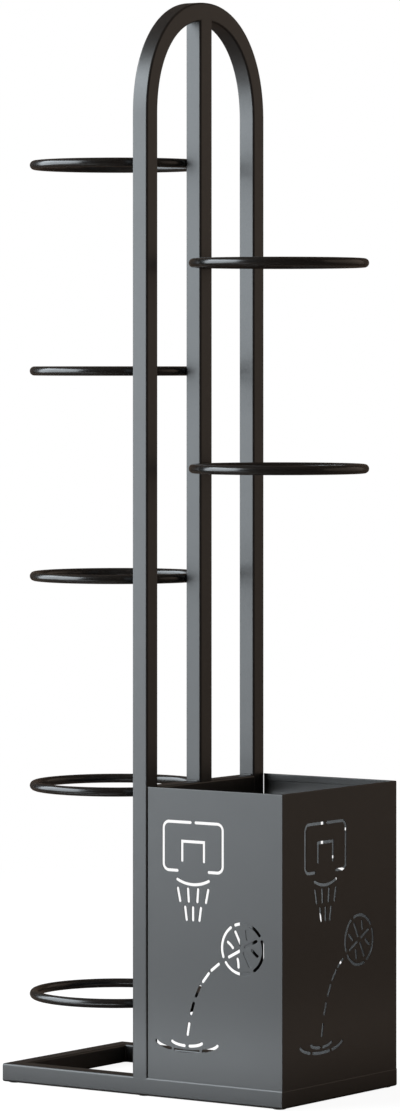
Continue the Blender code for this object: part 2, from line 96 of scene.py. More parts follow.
# %% Helpers for node groups
def start_group(name, inputs, outputs):
    """A shader node group whose sockets are all numbers; returns its tree and its two end nodes."""
    tree = bpy.data.node_groups.new(name, "ShaderNodeTree")
    for socket_name, value in inputs.items():
        socket = tree.interface.new_socket(socket_name, in_out="INPUT", socket_type="NodeSocketFloat")
        socket.default_value = value
    for socket_name in outputs:
        tree.interface.new_socket(socket_name, in_out="OUTPUT", socket_type="NodeSocketFloat")
    return tree, tree.nodes.new("NodeGroupInput"), tree.nodes.new("NodeGroupOutput")


def calculate(tree, operation, first, second=0.0, third=0.0, clamp=False):
    """A math node; each operand is a number or a socket."""
    node = tree.nodes.new("ShaderNodeMath")
    node.operation = operation
    node.use_clamp = clamp
    for socket, operand in zip(node.inputs, (first, second, third)):
        if isinstance(operand, bpy.types.NodeSocket):
            tree.links.new(operand, socket)
        else:
            socket.default_value = operand
    return node.outputs[0]


def noise(tree, size, detail=2.0, roughness=0.5):
    """Noise with features about size metres across, as a value from 0 to 1."""
    place = tree.nodes.new("ShaderNodeTexCoord")
    node = tree.nodes.new("ShaderNodeTexNoise")
    tree.links.new(place.outputs["Object"], node.inputs["Vector"])
    tree.links.new(calculate(tree, "DIVIDE", 1.0, size), node.inputs["Scale"])
    node.inputs["Detail"].default_value = detail
    node.inputs["Roughness"].default_value = roughness
    return node.outputs["Fac"]


print("group helpers ready")

# %% [markdown]
# ### Orange peel
#
# The peel is a height and not a colour, so the group puts out one value for a Bump node. Two noises are
# added: the slow one is the peel, the fast one is the grain of the powder.

# %% Orange peel group
def make_orange_peel():
    inputs = {"Peel Size": 0.0016, "Grain Size": 0.00035, "Grain Share": 0.25}
    tree, given, result = start_group("orange_peel", inputs, ["Height"])
    peel = noise(tree, given.outputs["Peel Size"], detail=1.0)
    grain = noise(tree, given.outputs["Grain Size"], detail=2.0)
    part = calculate(tree, "MULTIPLY", grain, given.outputs["Grain Share"])
    tree.links.new(calculate(tree, "ADD", peel, part), result.inputs["Height"])
    return tree


ORANGE_PEEL = make_orange_peel()
print("made", ORANGE_PEEL.name)

# %% [markdown]
# ### Edge wear
#
# Powder draws back from a sharp edge as it melts, and hands rub what is left. The Bevel node gives the
# normal of a rounded edge; where it departs from the true normal there is an edge. Noise breaks the mask,
# so that the wear isn't an even line.

# %% Edge wear group
EDGE_GAIN = 5.0
EDGE_SAMPLES = 4


def make_edge_wear():
    inputs = {"Reach": 0.0012, "Patch Size": 0.012, "Evenness": 0.35}
    tree, given, result = start_group("edge_wear", inputs, ["Mask"])
    bevel = tree.nodes.new("ShaderNodeBevel")
    bevel.samples = EDGE_SAMPLES
    tree.links.new(given.outputs["Reach"], bevel.inputs["Radius"])
    surface = tree.nodes.new("ShaderNodeNewGeometry")
    dot = tree.nodes.new("ShaderNodeVectorMath")
    dot.operation = "DOT_PRODUCT"
    tree.links.new(bevel.outputs["Normal"], dot.inputs[0])
    tree.links.new(surface.outputs["Normal"], dot.inputs[1])
    turn = calculate(tree, "SUBTRACT", 1.0, dot.outputs["Value"])
    edge = calculate(tree, "MULTIPLY", turn, EDGE_GAIN, clamp=True)
    patch = noise(tree, given.outputs["Patch Size"], detail=3.0)
    broken = calculate(tree, "ADD", patch, given.outputs["Evenness"], clamp=True)
    tree.links.new(calculate(tree, "MULTIPLY", edge, broken), result.inputs["Mask"])
    return tree


EDGE_WEAR = make_edge_wear()
print("made", EDGE_WEAR.name)

# %% [markdown]
# ### Dust and drift
#
# Fine dust settles only where a face looks up. Drift is the slow change of tone and gloss over a hand's
# width that any sprayed coat has.

# %% Dust and drift groups
DUST_FOCUS = 3.0
GLOSS_CLOUD_SHARE = 0.3


def make_settled_dust():
    inputs = {"Amount": 0.5, "Cloud Size": 0.03}
    tree, given, result = start_group("settled_dust", inputs, ["Mask"])
    surface = tree.nodes.new("ShaderNodeNewGeometry")
    parts = tree.nodes.new("ShaderNodeSeparateXYZ")
    tree.links.new(surface.outputs["Normal"], parts.inputs[0])
    upward = calculate(tree, "POWER", calculate(tree, "MAXIMUM", parts.outputs["Z"], 0.0), DUST_FOCUS)
    cloud = noise(tree, given.outputs["Cloud Size"], detail=4.0, roughness=0.6)
    share = calculate(tree, "MULTIPLY", upward, given.outputs["Amount"])
    tree.links.new(calculate(tree, "MULTIPLY", share, cloud), result.inputs["Mask"])
    return tree


def make_coat_drift():
    """Tone is near 1 and Gloss near 0, both changing slowly over the surface."""
    inputs = {"Drift Size": 0.09, "Tone Range": 0.12, "Gloss Range": 0.05}
    tree, given, result = start_group("coat_drift", inputs, ["Tone", "Gloss"])
    slow = noise(tree, given.outputs["Drift Size"], detail=2.0)
    centred = calculate(tree, "SUBTRACT", slow, 0.5)
    tone = calculate(tree, "MULTIPLY_ADD", centred, given.outputs["Tone Range"], 1.0)
    quick_size = calculate(tree, "MULTIPLY", given.outputs["Drift Size"], GLOSS_CLOUD_SHARE)
    quick = calculate(tree, "SUBTRACT", noise(tree, quick_size, detail=3.0), 0.5)
    gloss = calculate(tree, "MULTIPLY", quick, given.outputs["Gloss Range"])
    tree.links.new(tone, result.inputs["Tone"])
    tree.links.new(gloss, result.inputs["Gloss"])
    return tree


SETTLED_DUST = make_settled_dust()
COAT_DRIFT = make_coat_drift()
print("made", SETTLED_DUST.name, "and", COAT_DRIFT.name)

# %% [markdown]
# ### The materials
#
# One function lays the groups round a Principled BSDF. Tube, bar, sheet and weld share it with their own
# values: a thin bar is coated a little thicker and glossier than a wide sheet, and a weld bead is rougher.
# The resin of the coat bends light a little more than window glass does, and its index says so.

# %% Helpers for materials
FIRST_COLOUR, SECOND_COLOUR, MIXED_COLOUR = 6, 7, 2


def place_group(tree, group, values):
    """A group placed in a material with its own values; returns the group's outputs."""
    node = tree.nodes.new("ShaderNodeGroup")
    node.node_tree = group
    for socket_name, value in values.items():
        node.inputs[socket_name].default_value = value
    return node.outputs


def mix_colour(tree, mask, first, second):
    """A colour mix by mask; each colour is a tuple or a socket."""
    node = tree.nodes.new("ShaderNodeMix")
    node.data_type = "RGBA"
    tree.links.new(mask, node.inputs["Factor"])
    for index, colour in ((FIRST_COLOUR, first), (SECOND_COLOUR, second)):
        if isinstance(colour, tuple):
            node.inputs[index].default_value = (*colour, 1)
        else:
            tree.links.new(colour, node.inputs[index])
    return node.outputs[MIXED_COLOUR]


print("material helpers ready")

# %% One coat
RESIN_INDEX = 1.62
EDGE_TINT = (0.075, 0.074, 0.073)
DUST_TINT = (0.11, 0.108, 0.104)
DUST_DULLS = 0.35


def make_coat(name, colour, roughness, specular, peel, peel_depth, wear, dust):
    """peel and peel_depth are the width and height of the grain in metres; wear and dust are shares."""
    material = bpy.data.materials.new(name)
    material.use_nodes = True
    tree = material.node_tree
    shader = tree.nodes["Principled BSDF"]
    shader.inputs["IOR"].default_value = RESIN_INDEX
    shader.inputs["Specular IOR Level"].default_value = specular
    drift = place_group(tree, COAT_DRIFT, {})
    edge = place_group(tree, EDGE_WEAR, {})["Mask"]
    settled = place_group(tree, SETTLED_DUST, {"Amount": dust})["Mask"]
    height = place_group(tree, ORANGE_PEEL, {"Peel Size": peel})["Height"]
    toned = tree.nodes.new("ShaderNodeVectorMath")
    toned.operation = "SCALE"
    toned.inputs[0].default_value = colour
    tree.links.new(drift["Tone"], toned.inputs["Scale"])
    worn = mix_colour(tree, calculate(tree, "MULTIPLY", edge, wear), toned.outputs[0], EDGE_TINT)
    tree.links.new(mix_colour(tree, settled, worn, DUST_TINT), shader.inputs["Base Color"])
    dulled = calculate(tree, "MULTIPLY_ADD", settled, DUST_DULLS, roughness)
    tree.links.new(calculate(tree, "ADD", dulled, drift["Gloss"]), shader.inputs["Roughness"])
    bump = tree.nodes.new("ShaderNodeBump")
    bump.inputs["Distance"].default_value = peel_depth
    tree.links.new(height, bump.inputs["Height"])
    tree.links.new(bump.outputs["Normal"], shader.inputs["Normal"])
    return material


print("coat ready, index", RESIN_INDEX)

# %% The five finishes
COAT_BLACK = (0.0070, 0.0068, 0.0066)
RUBBER_BLACK = (0.018, 0.018, 0.018)
TUBE_COAT = make_coat("tube_powder_coat", COAT_BLACK, roughness=0.36, specular=0.5,
                      peel=0.0018, peel_depth=0.00002, wear=0.25, dust=0.10)
BAR_COAT = make_coat("bar_powder_coat", COAT_BLACK, roughness=0.22, specular=0.5,
                     peel=0.0014, peel_depth=0.00002, wear=0.20, dust=0.10)
SHEET_COAT = make_coat("sheet_powder_coat", COAT_BLACK, roughness=0.38, specular=0.5,
                       peel=0.0020, peel_depth=0.00002, wear=0.25, dust=0.10)
BEAD_COAT = make_coat("weld_powder_coat", COAT_BLACK, roughness=0.40, specular=0.5,
                      peel=0.0012, peel_depth=0.00005, wear=0.15, dust=0.10)
PAD_RUBBER = make_coat("pad_rubber", RUBBER_BLACK, roughness=0.82, specular=0.4,
                       peel=0.0008, peel_depth=0.00006, wear=0.05, dust=0.15)
print("finishes:", [finish.name for finish in (TUBE_COAT, BAR_COAT, SHEET_COAT, BEAD_COAT, PAD_RUBBER)])

# %% [markdown]
# ## Making a piece
#
# Every piece is a mesh that rides on the frame's one body and stands for the node whose place it takes.
# A bevel modifier could round the edges, but then its width would be the same everywhere, so each mesh
# brings its own rounds. Weighted normals keep the wide flat faces flat, while the narrow rounds beside
# them shade smoothly.

# %% Finish a mesh as a piece
SMOOTH_ANGLE = math.radians(40)
MERGE = 1e-7


def finish_piece(name, bm, material, nodes=()):
    """Turn a bmesh into a piece that stands for the named nodes."""
    bmesh.ops.remove_doubles(bm, verts=bm.verts, dist=MERGE)
    bmesh.ops.dissolve_degenerate(bm, edges=bm.edges, dist=MERGE)
    bmesh.ops.recalc_face_normals(bm, faces=bm.faces)
    mesh = bpy.data.meshes.new(name)
    bm.to_mesh(mesh)
    bm.free()
    mesh.shade_smooth()
    mesh.set_sharp_from_angle(angle=SMOOTH_ANGLE)
    mesh.materials.append(material)
    piece = bpy.data.objects.new(name, mesh)
    bpy.context.scene.collection.objects.link(piece)
    normals = piece.modifiers.new("flat_faces_stay_flat", "WEIGHTED_NORMAL")
    normals.keep_sharp = True
    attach(piece, "root")
    if nodes:
        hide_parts(*nodes)
    return piece


def skin(bm, first, second, skipped=()):
    """Faces between two closed rings of as many points, but for the sides whose index is skipped."""
    count = len(first)
    for index in range(count):
        if index not in skipped:
            after = (index + 1) % count
            bm.faces.new((first[index], first[after], second[after], second[index]))


def loft(bm, rings):
    """A closed solid through rings of world points."""
    made = [[bm.verts.new(point) for point in ring] for ring in rings]
    for near, far in zip(made, made[1:]):
        skin(bm, near, far)
    bm.faces.new(made[0])
    bm.faces.new(made[-1])


print("piece helpers ready")

# %% [markdown]
# ## Square tube
#
# The tube is rolled, so its corners are round. A curve with this section as its bevel would draw it, but
# its ends could only be cut square. Here code sets the section at each point of the middle line, so an end
# may be a mitre too. Six steps to a corner let a highlight run along it without a facet.

# %% Tube section
CORNER_STEPS = 6


def rounded_square(size, radius):
    """Corner points of a rounded square, anticlockwise from its right side."""
    points = []
    for corner in range(4):
        turn = math.radians(45 + 90 * corner)
        centre = Vector((math.cos(turn), math.sin(turn))) * (size / 2 - radius) * math.sqrt(2)
        for step in range(CORNER_STEPS + 1):
            angle = math.radians(90 * corner + 90 * step / CORNER_STEPS)
            points.append(centre + Vector((math.cos(angle), math.sin(angle))) * radius)
    return points


TUBE_SECTION = rounded_square(TUBE, TUBE_RADIUS)


def section_at(origin, across, up):
    """The tube's section at a place; across and up are the vectors that its two sides follow."""
    return [Vector(origin) + across * point.x + up * point.y for point in TUBE_SECTION]


def straight_tube(start, end, across, up):
    bm = bmesh.new()
    loft(bm, [section_at(start, across, up), section_at(end, across, up)])
    return bm


print("section points:", len(TUBE_SECTION))

# %% [markdown]
# ## Base rails
#
# The four base tubes are mitred, welded and ground, so no joint shows and the upright corner edge is a
# little rounded. A boolean could cut the mitre, but it leaves thin faces that shade badly. Instead each
# tube ends in half of the corner's round: what lies nearer the outside than its radius turns with it, and
# the rest runs straight to the mitre.

# %% Mitred base rails
MITRE_RADIUS = 0.0005
MITRE_STEPS = 3
MITRE_ANGLES = [math.radians(45) * step / MITRE_STEPS for step in range(MITRE_STEPS + 1)]


def mitred(end, depth, angle):
    """Where a point at a depth below the outer face goes near a corner: (along, depth)."""
    spare = MITRE_RADIUS - depth
    if spare > 0:
        return end - MITRE_RADIUS + spare * math.sin(angle), MITRE_RADIUS - spare * math.cos(angle)
    return end - depth, depth


def make_base_rail(name, middle, run, out, half_run):
    rings = []
    for sign, angles in ((-1, MITRE_ANGLES[::-1]), (1, MITRE_ANGLES)):
        for angle in angles:
            ring = []
            for point in TUBE_SECTION:
                along, depth = mitred(half_run, HALF_TUBE - point.x, angle)
                ring.append(middle + run * sign * along + out * (HALF_TUBE - depth) + Z_AXIS * point.y)
            rings.append(ring)
    bm = bmesh.new()
    loft(bm, rings)
    return finish_piece(name, bm, TUBE_COAT, ["base_" + name])


RAIL_X = RIGHT - HALF_TUBE
make_base_rail("front_rail", Vector((0, -LEG_Y, RAIL_Z)), X_AXIS, -Y_AXIS, RIGHT)
make_base_rail("back_rail", Vector((0, LEG_Y, RAIL_Z)), X_AXIS, Y_AXIS, RIGHT)
make_base_rail("left_rail", Vector((-RAIL_X, 0, RAIL_Z)), Y_AXIS, -X_AXIS, BACK)
make_base_rail("right_rail", Vector((RAIL_X, 0, RAIL_Z)), Y_AXIS, X_AXIS, BACK)
print("base %.1f x %.1f mm" % ((RIGHT - LEFT) * 1000, (BACK - FRONT) * 1000))

# %% [markdown]
# ## The arch
#
# One tube is bent over a former and forms both legs. A Simple Deform modifier would bend it to part of a
# circle, but the real middle line is nearer a superellipse: an ellipse whose shoulders are a little fuller,
# and that is easily written as a function. The direction of the tube at each point is worked out from its two
# neighbours, and at the spring line it stays upright. The feet stop where the rail's round begins, so
# that leg and rail share one flush face.

# %% Bend the arch
ARCH_RISE = 0.1465
ARCH_FULLNESS = 2.14
ARCH_STEPS = 96
SPRING_Z = ARCH_TOP - HALF_TUBE - ARCH_RISE


def arch_point(angle):
    over, rise = math.cos(angle), max(math.sin(angle), 0.0)
    y = -LEG_Y * math.copysign(abs(over) ** (2 / ARCH_FULLNESS), over)
    return Vector((0, y, SPRING_Z + ARCH_RISE * rise ** (2 / ARCH_FULLNESS)))


def make_arch():
    foot = Z_AXIS * (RAIL_TOP - TUBE_RADIUS - SPRING_Z)
    bend = [arch_point(math.pi * step / ARCH_STEPS) for step in range(ARCH_STEPS + 1)]
    rings = [section_at(bend[0] + foot, X_AXIS, -Y_AXIS), section_at(bend[0], X_AXIS, -Y_AXIS)]
    for before, point, after in zip(bend, bend[1:], bend[2:]):
        direction = (after - point).normalized() + (point - before).normalized()
        outward = X_AXIS.cross(direction.normalized())
        rings.append(section_at(point, X_AXIS, outward))
    rings += [section_at(bend[-1], X_AXIS, Y_AXIS), section_at(bend[-1] + foot, X_AXIS, Y_AXIS)]
    bm = bmesh.new()
    loft(bm, rings)
    return finish_piece("arch", bm, TUBE_COAT, ["arch_frame"])


ARCH = make_arch()
print("arch points:", len(ARCH.data.vertices))

# %% [markdown]
# ## Post and crossbars
#
# These tubes butt against the arch and the legs. Each end runs a little way into the tube that it meets,
# because the real joint is filled with weld and shows no gap.

# %% Post and crossbars
WELD_OVERLAP = 0.0008


def make_crossbar(name, node, top):
    reach = Y_AXIS * (LEG_Y - HALF_TUBE + WELD_OVERLAP)
    middle = Vector((0, 0, top - HALF_TUBE))
    bm = straight_tube(middle - reach, middle + reach, X_AXIS, Z_AXIS)
    return finish_piece(name, bm, TUBE_COAT, [node])


make_crossbar("bar_upper", "upper_crossbar", UPPER_BAR_TOP)
make_crossbar("bar_lower", "lower_crossbar", LOWER_BAR_TOP)
make_crossbar("cross_rail", "base_cross_rail", RAIL_TOP)
POST_FOOT = Vector((0, 0, UPPER_BAR_TOP - WELD_OVERLAP))
POST_TOP = Vector((0, 0, ARCH_TOP - TUBE + TUBE_RADIUS))
POST = straight_tube(POST_FOOT, POST_TOP, X_AXIS, Y_AXIS * POST_DEPTH / TUBE)
finish_piece("post", POST, TUBE_COAT, ["centre_post"])
print("post %.1f mm long" % ((POST_TOP - POST_FOOT).length * 1000))

# %% [markdown]
# ## Ball rings
#
# A round bar is rolled into a ring and welded to the post where the two touch. A ready-made torus would do,
# but a circle carried round a circle is only a few lines, and takes its size and height straight from the
# node that it stands for.

# %% Rings of round bar
RING_STEPS = 144
BAR_STEPS = 24


def circle(radius, steps):
    return [Vector((math.cos(2 * math.pi * i / steps), math.sin(2 * math.pi * i / steps))) * radius
            for i in range(steps)]


def make_ring(node):
    low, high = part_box(node)
    side = 1 if node.startswith("right") else -1
    bar = high.z - low.z
    outer = (high.y - low.y) / 2
    centre = (low + high) / 2
    centre.x = (high.x if side > 0 else low.x) - side * outer
    bm = bmesh.new()
    rings = []
    for round_point in circle(1.0, RING_STEPS):
        out = Vector((round_point.x, round_point.y, 0))
        middle = centre + out * (outer - bar / 2)
        rings.append([bm.verts.new(middle + out * p.x + Z_AXIS * p.y) for p in circle(bar / 2, BAR_STEPS)])
    for near, far in zip(rings, rings[1:] + rings[:1]):
        skin(bm, near, far)
    finish_piece(node.replace("ring", "hoop"), bm, BAR_COAT, [node])
    return centre


RING_CENTRES = [make_ring(node) for node in nodes_with("_ring_")]
print("rings:", len(RING_CENTRES))

# %% [markdown]
# ## Weld beads
#
# A bead is a row of overlapping drops, left by a torch that moves in small steps. It is a tube whose
# thickness pulses along its run, and it swells up and dies away at its two ends. Bump alone would show the
# ripples but leave the outline straight. Beads sit only in inner corners, because the flush faces are
# ground before coating.

# %% One bead
BEAD_SIDES = 10
RIPPLE_PITCH = 0.0016
RIPPLE_DEPTH = 0.09
RIPPLE_STEPS = 4
BEAD_TIP = 0.04


def add_bead(bm, start, end, radius):
    """A rippled bead from start to end."""
    start, end = Vector(start), Vector(end)
    run = (end - start).normalized()
    side = run.orthogonal().normalized()
    other = run.cross(side)
    length = (end - start).length
    steps = math.ceil(length / RIPPLE_PITCH * RIPPLE_STEPS)
    rings = []
    for step in range(steps + 1):
        along = length * step / steps
        fade = min(1.0, math.sqrt(max(BEAD_TIP, min(along, length - along) / radius)))
        ripple = 1 - RIPPLE_DEPTH * abs(math.sin(math.pi * along / RIPPLE_PITCH))
        ring = [start + run * along + (side * p.x + other * p.y) * fade * ripple
                for p in circle(radius, BEAD_SIDES)]
        rings.append(ring)
    loft(bm, rings)


print("ripple %.1f mm" % (RIPPLE_PITCH * 1000))

# %% Beads of the rings
RING_BEAD_RUN = 0.0068
RING_BEAD_RADIUS = 0.0021
RING_BEAD_LIFT = 0.0049
RING_BEAD_STAND = 0.55


def make_ring_welds():
    bm = bmesh.new()
    run = Y_AXIS * RING_BEAD_RUN
    for centre in RING_CENTRES:
        x = math.copysign(HALF_TUBE + RING_BEAD_RADIUS * RING_BEAD_STAND, centre.x)
        for lift in (-RING_BEAD_LIFT, RING_BEAD_LIFT):
            middle = Vector((x, centre.y, centre.z + lift))
            add_bead(bm, middle - run, middle + run, RING_BEAD_RADIUS)
    return finish_piece("ring_welds", bm, BEAD_COAT)


RING_WELDS = make_ring_welds()
print("beads of the rings:", len(RING_WELDS.data.polygons), "faces")

# %% Beads of the joints
JOINT_BEAD_RADIUS = 0.0014
BEAD_SINK = 0.35


def make_joint_welds():
    """Beads in the inner corners between tubes, each sunk a little into both."""
    sink = JOINT_BEAD_RADIUS * BEAD_SINK
    half_run = HALF_TUBE - TUBE_RADIUS
    bm = bmesh.new()
    for y_sign in (-1, 1):
        leg_face = y_sign * (LEG_Y - HALF_TUBE - sink)
        for bar_top in (UPPER_BAR_TOP, LOWER_BAR_TOP):
            for z in (bar_top + sink, bar_top - TUBE - sink):
                add_bead(bm, (-half_run, leg_face, z), (half_run, leg_face, z), JOINT_BEAD_RADIUS)
        post_face = y_sign * (POST_DEPTH / 2 + sink)
        for z in (UPPER_BAR_TOP + sink, ARCH_TOP - TUBE - sink):
            add_bead(bm, (-half_run, post_face, z), (half_run, post_face, z), JOINT_BEAD_RADIUS)
        foot_x = -HALF_TUBE - sink
        add_bead(bm, (foot_x, y_sign * (LEG_Y - half_run), RAIL_TOP + sink),
                 (foot_x, y_sign * (LEG_Y + half_run), RAIL_TOP + sink), JOINT_BEAD_RADIUS)
        for x in (LEFT + TUBE + sink, foot_x):
            add_bead(bm, (x, leg_face, RAIL_LOW + TUBE_RADIUS), (x, leg_face, RAIL_TOP - TUBE_RADIUS),
                     JOINT_BEAD_RADIUS)
    return finish_piece("joint_welds", bm, BEAD_COAT)


JOINT_WELDS = make_joint_welds()
print("beads of the joints:", len(JOINT_WELDS.data.polygons), "faces")

# %% [markdown]
# ## The drawing on the bin
#
# The panels have a drawing cut through them: a hoop with its backboard, and a ball that bounces away.
# A laser follows a line, so the drawing is a list of strokes, and each stroke becomes a slot of one
# width. Between two slots stays a bridge of metal, or the middle of a closed shape would fall out.

# %% Slot and bridge
SLOT = 0.004
BRIDGE = 0.0045
SLOT_PITCH = SLOT + BRIDGE
SLOT_TOLERANCE = 0.00004
print("slot %.1f mm, bridge %.1f mm" % (SLOT * 1000, BRIDGE * 1000))

# %% [markdown]
# The hoop: half a backboard is drawn and mirrored, so the two halves are alike. The net's cords narrow
# from the rim to its foot and are staggered from row to row.

# %% The backboard
RIM_CENTRE = (-0.036, 0.076)
RIM_WIDTH = 0.052
BOARD_WIDTH = 0.098
BOARD_HEIGHT = 0.066
BOARD_CORNER = 0.009
BOARD_LIFT = 0.012
TARGET_WIDTH = 0.036
TARGET_HEIGHT = 0.026
TARGET_LIFT = 0.014


def arc_points(centre, radius, start, end, flatten=1.0):
    """An arc with as many steps as the slot's tolerance asks for."""
    largest_step = 2 * math.acos(1 - SLOT_TOLERANCE / radius)
    steps = max(2, math.ceil(abs(end - start) / largest_step))
    points = []
    for step in range(steps + 1):
        angle = start + (end - start) * step / steps
        offset = Vector((math.cos(angle), flatten * math.sin(angle)))
        points.append(Vector(centre) + offset * radius)
    return points


def half_board(side):
    """The left (-1) or right (1) half of the backboard's outline, from its top middle to the rim."""
    foot = RIM_CENTRE[1] + BOARD_LIFT
    corner = BOARD_WIDTH / 2 - BOARD_CORNER
    stroke = [Vector((SLOT_PITCH / 2, foot + BOARD_HEIGHT))]
    stroke += arc_points((corner, foot + BOARD_HEIGHT - BOARD_CORNER), BOARD_CORNER, math.pi / 2, 0)
    stroke += arc_points((corner, foot + BOARD_CORNER), BOARD_CORNER, 0, -math.pi / 2)
    stroke.append(Vector((RIM_WIDTH / 2, foot)))
    return [Vector((RIM_CENTRE[0] + side * point.x, point.y)) for point in stroke]


def backboard_strokes():
    foot = RIM_CENTRE[1] + BOARD_LIFT + TARGET_LIFT
    left = RIM_CENTRE[0] - TARGET_WIDTH / 2
    right = RIM_CENTRE[0] + TARGET_WIDTH / 2
    target = [(left, foot), (left, foot + TARGET_HEIGHT), (right, foot + TARGET_HEIGHT), (right, foot)]
    return [half_board(-1), half_board(1), [Vector(point) for point in target]]


print("backboard strokes:", len(backboard_strokes()))

# %% Rim and net
RIM_SAG = 0.006
NET_DEPTH = 0.050
NET_FOOT_WIDTH = 0.030
NET_MESHES = 3
NET_ROWS = 2


def rim_strokes():
    half = RIM_WIDTH / 2
    radius = (half ** 2 + RIM_SAG ** 2) / (2 * RIM_SAG)
    spread = math.asin(half / radius)
    centre = (RIM_CENTRE[0], RIM_CENTRE[1] - RIM_SAG + radius)
    return [arc_points(centre, radius, -math.pi / 2 - spread, -math.pi / 2 + spread)]


def net_strokes():
    strokes = []
    top = RIM_CENTRE[1] - RIM_SAG - SLOT / 2
    for row in range(NET_ROWS):
        for cord in range(NET_MESHES + 1 - row % 2):
            across = (cord + (row % 2) / 2) / NET_MESHES - 0.5
            ends = []
            for share in (row / NET_ROWS, (row + 1) / NET_ROWS):
                width = RIM_WIDTH + (NET_FOOT_WIDTH - RIM_WIDTH) * share
                ends.append(Vector((RIM_CENTRE[0] + width * across, top - NET_DEPTH * share)))
            inset = (ends[1] - ends[0]).normalized() * SLOT_PITCH / 2
            strokes.append([ends[0] + inset, ends[1] - inset])
    return strokes


print("rim and net strokes:", len(rim_strokes() + net_strokes()))

# %% [markdown]
# The ball: four arcs, four spokes and the two curved side seams, all turned by the ball's tilt. Below it
# are the dashes of its path and the marks where it bounced.

# %% The ball
BALL_CENTRE = (0.046, -0.012)
BALL_RADIUS = 0.034
BALL_TILT = math.radians(28)
SEAM_OFFSET = 1.5
SEAM_RADIUS = 1.12


def ball_strokes():
    turn = Matrix.Rotation(BALL_TILT, 2)
    half_gap = SLOT_PITCH / 2 / BALL_RADIUS
    strokes = []
    for sector in range(4):
        start = sector * math.pi / 2 + half_gap
        strokes.append(arc_points((0, 0), BALL_RADIUS, start, start + math.pi / 2 - 2 * half_gap))
        spoke = Matrix.Rotation(sector * math.pi / 2, 2) @ Vector((1, 0))
        strokes.append([spoke * SLOT_PITCH / math.sqrt(2), spoke * (BALL_RADIUS - SLOT_PITCH)])
    seam_radius = BALL_RADIUS * SEAM_RADIUS
    meet = math.acos((SEAM_OFFSET ** 2 + SEAM_RADIUS ** 2 - 1) / (2 * SEAM_OFFSET * SEAM_RADIUS))
    for side in (-1, 1):
        seam_centre = (side * BALL_RADIUS * SEAM_OFFSET, 0)
        middle = math.pi / 2 + side * math.pi / 2
        near = SLOT_PITCH / seam_radius
        far = meet - near
        for sign in (-1, 1):
            strokes.append(arc_points(seam_centre, seam_radius, middle + sign * near, middle + sign * far))
    return [[Vector(BALL_CENTRE) + turn @ point for point in stroke] for stroke in strokes]


print("ball strokes:", len(ball_strokes()))

# %% Bounce marks and path
BOUNCE_CENTRE = (-0.046, -0.142)
BOUNCE_RADII = (0.026, 0.052)
BOUNCE_PIECES = (2, 3)
BOUNCE_FLATTEN = 0.28
BOUNCE_START = math.radians(190)
BOUNCE_END = math.radians(350)
PATH_DASHES = 5
PATH_DASH = 0.015
PATH_BULGE = (-0.036, -0.060)


def bounce_strokes():
    strokes = []
    for radius, pieces in zip(BOUNCE_RADII, BOUNCE_PIECES):
        span = (BOUNCE_END - BOUNCE_START) / pieces
        margin = SLOT_PITCH / 2 / radius
        for piece in range(pieces):
            first = BOUNCE_START + span * piece + margin
            last = first + span - 2 * margin
            strokes.append(arc_points(BOUNCE_CENTRE, radius, first, last, BOUNCE_FLATTEN))
    return strokes


def path_strokes():
    start, bulge, ball = Vector(BOUNCE_CENTRE), Vector(PATH_BULGE), Vector(BALL_CENTRE)
    end = ball + (bulge - ball).normalized() * (BALL_RADIUS + SLOT_PITCH)
    strokes = []
    for dash in range(PATH_DASHES):
        share = (dash + 0.5) / PATH_DASHES
        point = start * (1 - share) ** 2 + bulge * 2 * share * (1 - share) + end * share ** 2
        along = ((bulge - start) * (1 - share) + (end - bulge) * share).normalized()
        strokes.append([point - along * PATH_DASH / 2, point + along * PATH_DASH / 2])
    return strokes


STROKES = (backboard_strokes() + rim_strokes() + net_strokes() + ball_strokes()
           + bounce_strokes() + path_strokes())
print("strokes in all:", len(STROKES))

# %% [markdown]
# ## From stroke to slot
#
# A boolean for each slot would be slow, and would leave no clean ring of points for a rounded lip. So the
# outline is worked out here: it keeps half the slot's width from the stroke, with a half circle at each
# end. That distance is a value of the function, because the lip is the same outline a little wider.

# %% Slot outline
CAP_STEPS = 10


def round_cap(point, along, radius):
    side = Vector((-along.y, along.x))
    cap = []
    for step in range(1, CAP_STEPS):
        angle = math.pi / 2 - math.pi * step / CAP_STEPS
        cap.append(point + (side * math.sin(angle) + along * math.cos(angle)) * radius)
    return cap


def slot_outline(stroke, radius):
    left, right = [], []
    for index, point in enumerate(stroke):
        before = stroke[max(index - 1, 0)]
        after = stroke[min(index + 1, len(stroke) - 1)]
        along = (point - before).normalized() + (after - point).normalized()
        along.normalize()
        side = Vector((-along.y, along.x))
        bend = (after - point).normalized() if index < len(stroke) - 1 else along
        widen = 1 / along.dot(bend)
        left.append(point + side * radius * widen)
        right.append(point - side * radius * widen)
    start_cap = round_cap(stroke[0], (stroke[0] - stroke[1]).normalized(), radius)
    end_cap = round_cap(stroke[-1], (stroke[-1] - stroke[-2]).normalized(), radius)
    return left + end_cap + right[::-1] + start_cap


print("points in the first slot:", len(slot_outline(STROKES[0], SLOT / 2)))

# %% [markdown]
# ## Bin panels
#
# Each panel is sheet steel, cut, and folded double along its top. A flat cut-out with a Solidify modifier
# would have the thickness, but neither the fold nor the rounded edges. So it is an upright section carried
# along the panel: at an end beside a leg it draws in for a rounded edge, at a corner it ends on the mitre.
# On the wide stretch between, the two faces are filled round the slots by a triangulation, and each slot
# gets its rounded lips and its wall.

